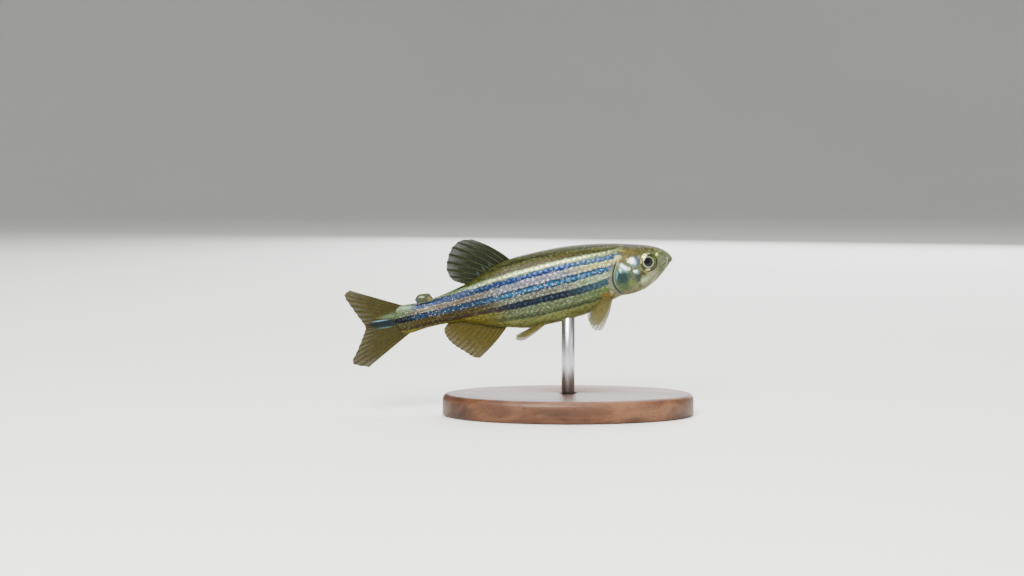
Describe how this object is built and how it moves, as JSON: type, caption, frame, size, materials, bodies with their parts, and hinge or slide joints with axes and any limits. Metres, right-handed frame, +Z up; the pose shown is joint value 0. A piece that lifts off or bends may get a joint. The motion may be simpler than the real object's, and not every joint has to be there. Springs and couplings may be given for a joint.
{
  "type": "zebra danio display model",
  "caption": "Life-size zebra danio, swimming nose up, with striped flanks, spread fins and fine barbels, held over an oval plinth by a rod.",
  "frame": {"origin": "centre of the plinth's underside, below the rod", "axes": "+X to the fish's head, +Y to the fish's left, +Z up; the fish is pitched 13 degrees nose up"},
  "size_m": [0.0473, 0.02, 0.0239],
  "materials": {
    "head_skin": "silver and olive skin, wet gloss",
    "flank_skin": "blue and silver stripes of pearly scales",
    "stalk_skin": "stripes running out over the tail stalk",
    "gill_cover": "silvery teal, pearly",
    "eye": "black pupil in a silver ring, clear gloss",
    "fin": "thin see-through olive membrane with darker rays",
    "flap": "pale, slightly see-through",
    "barbel": "pale olive, smooth",
    "stand_wood": "oiled walnut, satin",
    "stand_steel": "brushed along the rod"
  },
  "bodies": {
    "root": {"head": "head_skin", "trunk": "flank_skin", "tail_stalk": "stalk_skin", "gill_cover_left": "gill_cover", "gill_cover_right": "gill_cover", "eye_left": "eye", "eye_right": "eye", "dorsal_fin": "fin", "anal_fin": "fin", "tail_fin": "fin", "pectoral_fin_left": "fin", "pectoral_fin_right": "fin", "pelvic_fin_left": "fin", "pelvic_fin_right": "fin", "tail_flap": "flap", "snout_barbel_left": "barbel", "snout_barbel_right": "barbel", "jaw_barbel_left": "barbel", "jaw_barbel_right": "barbel", "stand_base": "stand_wood", "stand_rod": "stand_steel"}
  },
  "joints": []
}
